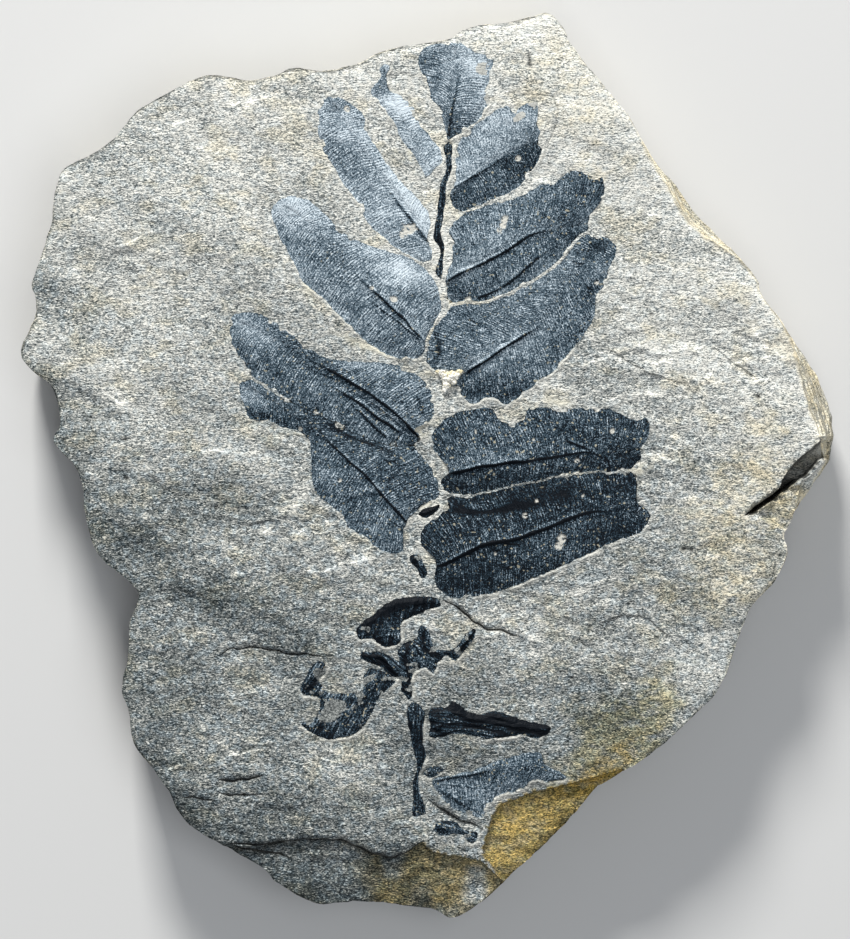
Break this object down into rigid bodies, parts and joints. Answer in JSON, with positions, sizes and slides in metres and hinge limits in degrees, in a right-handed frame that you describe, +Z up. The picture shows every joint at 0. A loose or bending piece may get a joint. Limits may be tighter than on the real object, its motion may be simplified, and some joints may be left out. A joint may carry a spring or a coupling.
{
  "type": "fossil fern plate",
  "caption": "Broken slab of grey shale with the dark carbon film of a seed-fern frond, leaflets in pairs along a stem, lying flat.",
  "frame": {"origin": "middle of the underside of the slab, on the surface it lies on", "axes": "+Z up out of the fossil face; +Y from the foot of the frond to its tip; +X to the right as the face is looked down on"},
  "size_m": [0.1146, 0.1266, 0.0136],
  "materials": {
    "shale": "matt split shale, pale grey with a fine speckle, ochre stains at the foot",
    "carbon_film": "thin blue-grey carbon film with fine veins and a low sheen",
    "dark_film": "near-black crumpled carbon film, low sheen",
    "white_mineral": "chalky white mineral crust"
  },
  "bodies": {
    "root": {"shale_slab": "shale", "terminal_leaflet": "carbon_film", "right_leaflet_1": "carbon_film", "right_leaflet_2": "carbon_film", "right_leaflet_3": "carbon_film", "right_leaflet_4": "carbon_film", "right_leaflet_5": "carbon_film", "left_leaflet_1": "carbon_film", "left_leaflet_2": "carbon_film", "left_leaflet_3": "carbon_film", "left_leaflet_4": "carbon_film", "left_leaflet_5": "carbon_film", "lower_leaflet_1": "carbon_film", "lower_leaflet_2": "carbon_film", "curled_leaflet_top": "dark_film", "curled_leaflet_middle": "dark_film", "curled_leaflet_left": "dark_film", "upper_stem": "dark_film", "stem_chip": "dark_film", "middle_stem": "dark_film", "lower_stem": "dark_film", "leaflet_stub": "dark_film", "leaf_scrap": "dark_film", "mineral_patch": "white_mineral"}
  },
  "joints": []
}
